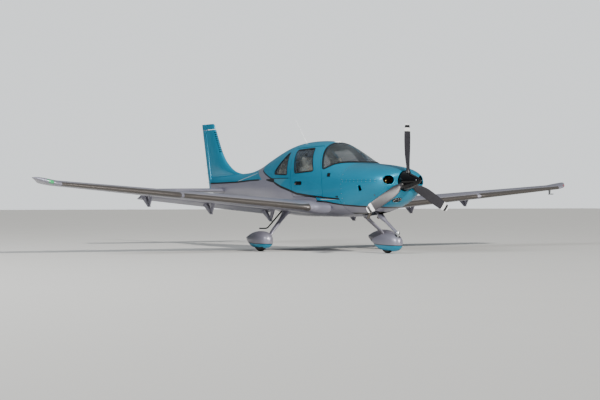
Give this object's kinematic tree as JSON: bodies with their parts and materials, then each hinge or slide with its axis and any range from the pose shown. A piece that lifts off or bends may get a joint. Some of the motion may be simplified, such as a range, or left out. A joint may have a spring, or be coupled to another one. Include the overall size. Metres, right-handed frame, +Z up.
{
  "type": "light aircraft",
  "caption": "Single-engine low-wing light aircraft with fixed faired tricycle gear, hinged cabin doors, part-lowered flaps and moving control surfaces.",
  "frame": {"origin": "on the ground, below the middle of the aircraft's length and span", "axes": "+X to its left wing tip, -Y to its nose, +Z up"},
  "size_m": [11.68, 7.92, 2.5886],
  "materials": {
    "airframe_paint": "metallic enamel over glass-fibre composite, silver and teal",
    "window_acrylic": "clear, slightly tinted acrylic",
    "spinner_enamel": "glossy black enamel",
    "blade_composite": "satin dark grey paint over composite",
    "bare_steel": "brushed",
    "rim_aluminium": "machined",
    "tyre_rubber": "black vulcanised rubber",
    "engine_casting": "cast, unpainted",
    "dark_trim": "textured dark trim",
    "seat_leather": "cream leather",
    "antenna_plastic": "white moulded plastic",
    "step_enamel": "black enamel"
  },
  "bodies": {
    "airframe": {"cowl_upper": "airframe_paint", "cowl_lower": "airframe_paint", "fuselage_cabin": "airframe_paint", "cabin_belly": "airframe_paint", "rear_window_left": "window_acrylic", "rear_window_right": "window_acrylic", "windshield": "window_acrylic", "tail_cone_and_fin": "airframe_paint", "stabiliser": "airframe_paint", "wing_left": "airframe_paint", "wing_right": "airframe_paint", "main_leg_left": "airframe_paint", "main_leg_right": "airframe_paint", "wheel_pant_left": "airframe_paint", "wheel_pant_right": "airframe_paint", "axle_left": "bare_steel", "axle_right": "bare_steel", "nose_strut": "bare_steel", "engine_block": "engine_casting", "exhaust_pipe_left": "bare_steel", "exhaust_pipe_right": "bare_steel", "cabin_floor": "dark_trim", "instrument_panel": "dark_trim", "centre_console": "dark_trim", "seat_front_left": "seat_leather", "seat_front_right": "seat_leather", "seat_rear": "seat_leather", "whip_antenna": "dark_trim", "roof_antenna": "antenna_plastic", "entry_step": "step_enamel", "pitot_tube": "bare_steel"},
    "door_left": {"door_left": "airframe_paint", "door_window_left": "window_acrylic"},
    "door_right": {"door_right": "airframe_paint", "door_window_right": "window_acrylic"},
    "baggage_door": {"baggage_door": "airframe_paint"},
    "flap_left": {"flap_left": "airframe_paint"},
    "flap_right": {"flap_right": "airframe_paint"},
    "aileron_left": {"aileron_left": "airframe_paint"},
    "aileron_right": {"aileron_right": "airframe_paint"},
    "elevator": {"elevator_left": "airframe_paint", "elevator_right": "airframe_paint"},
    "rudder": {"rudder": "airframe_paint"},
    "propeller": {"spinner": "spinner_enamel", "propeller_blade_1": "blade_composite", "propeller_blade_2": "blade_composite", "propeller_blade_3": "blade_composite"},
    "wheel_left": {"tyre_main_left": "tyre_rubber", "rim_main_left": "rim_aluminium"},
    "wheel_right": {"tyre_main_right": "tyre_rubber", "rim_main_right": "rim_aluminium"},
    "nose_caster": {"nose_fork": "bare_steel", "wheel_pant_nose": "airframe_paint"},
    "wheel_nose": {"tyre_nose": "tyre_rubber", "rim_nose": "rim_aluminium"}
  },
  "joints": [
    {"name": "propeller_spin", "type": "hinge", "parent": "airframe", "child": "propeller", "pos_m": [0, -3.617, 1.262], "axis": [0, -1, 0], "continuous": true},
    {"name": "wheel_left_spin", "type": "hinge", "parent": "airframe", "child": "wheel_left", "pos_m": [1.381, -0.95, 0.175], "axis": [1, 0, 0], "continuous": true},
    {"name": "wheel_right_spin", "type": "hinge", "parent": "airframe", "child": "wheel_right", "pos_m": [-1.381, -0.95, 0.175], "axis": [1, 0, 0], "continuous": true},
    {"name": "nose_caster_swivel", "type": "hinge", "parent": "airframe", "child": "nose_caster", "pos_m": [0, -3.31, 0.3], "axis": [0, 0, 1], "range_deg": [-85, 85]},
    {"name": "wheel_nose_spin", "type": "hinge", "parent": "nose_caster", "child": "wheel_nose", "pos_m": [0, -3.006, 0.162], "axis": [1, 0, 0], "continuous": true},
    {"name": "door_left_hinge", "type": "hinge", "parent": "airframe", "child": "door_left", "pos_m": [0.64, -1.88, 1.05], "axis": [0.0576, -0.2054, -0.977], "range_deg": [0, 65]},
    {"name": "door_right_hinge", "type": "hinge", "parent": "airframe", "child": "door_right", "pos_m": [-0.64, -1.88, 1.05], "axis": [0.0576, 0.2054, 0.977], "range_deg": [0, 65]},
    {"name": "baggage_door_hinge", "type": "hinge", "parent": "airframe", "child": "baggage_door", "pos_m": [0.607, -0.488, 1.2], "axis": [0, 0, -1], "range_deg": [0, 90]},
    {"name": "flap_left_hinge", "type": "hinge", "parent": "airframe", "child": "flap_left", "pos_m": [0.775, -0.55961, 0.5355], "axis": [0.992, -0.0697, 0.105], "range_deg": [-16, 16]},
    {"name": "flap_right_hinge", "type": "hinge", "parent": "airframe", "child": "flap_right", "pos_m": [-0.775, -0.55961, 0.5355], "axis": [0.992, 0.0697, -0.105], "range_deg": [-16, 16]},
    {"name": "aileron_left_hinge", "type": "hinge", "parent": "airframe", "child": "aileron_left", "pos_m": [3.617, -0.70673, 1.05472], "axis": [0.9937, -0.0772, 0.0816], "range_deg": [-12.5, 12.5]},
    {"name": "aileron_right_hinge", "type": "hinge", "parent": "airframe", "child": "aileron_right", "pos_m": [-3.617, -0.70673, 1.05472], "axis": [0.9937, 0.0772, -0.0816], "range_deg": [-12.5, 12.5]},
    {"name": "elevator_hinge", "type": "hinge", "parent": "airframe", "child": "elevator", "pos_m": [0, 3.403, 1.15], "axis": [1, 0, 0], "range_deg": [-15, 25]},
    {"name": "rudder_hinge", "type": "hinge", "parent": "airframe", "child": "rudder", "pos_m": [0, 3.47185, 1.13], "axis": [0, 0.2059, 0.9786], "range_deg": [-20, 20]}
  ],
  "couplings": [
    {"joint": "flap_right_hinge", "follows": "flap_left_hinge", "ratio": 1},
    {"joint": "aileron_right_hinge", "follows": "aileron_left_hinge", "ratio": -1}
  ]
}
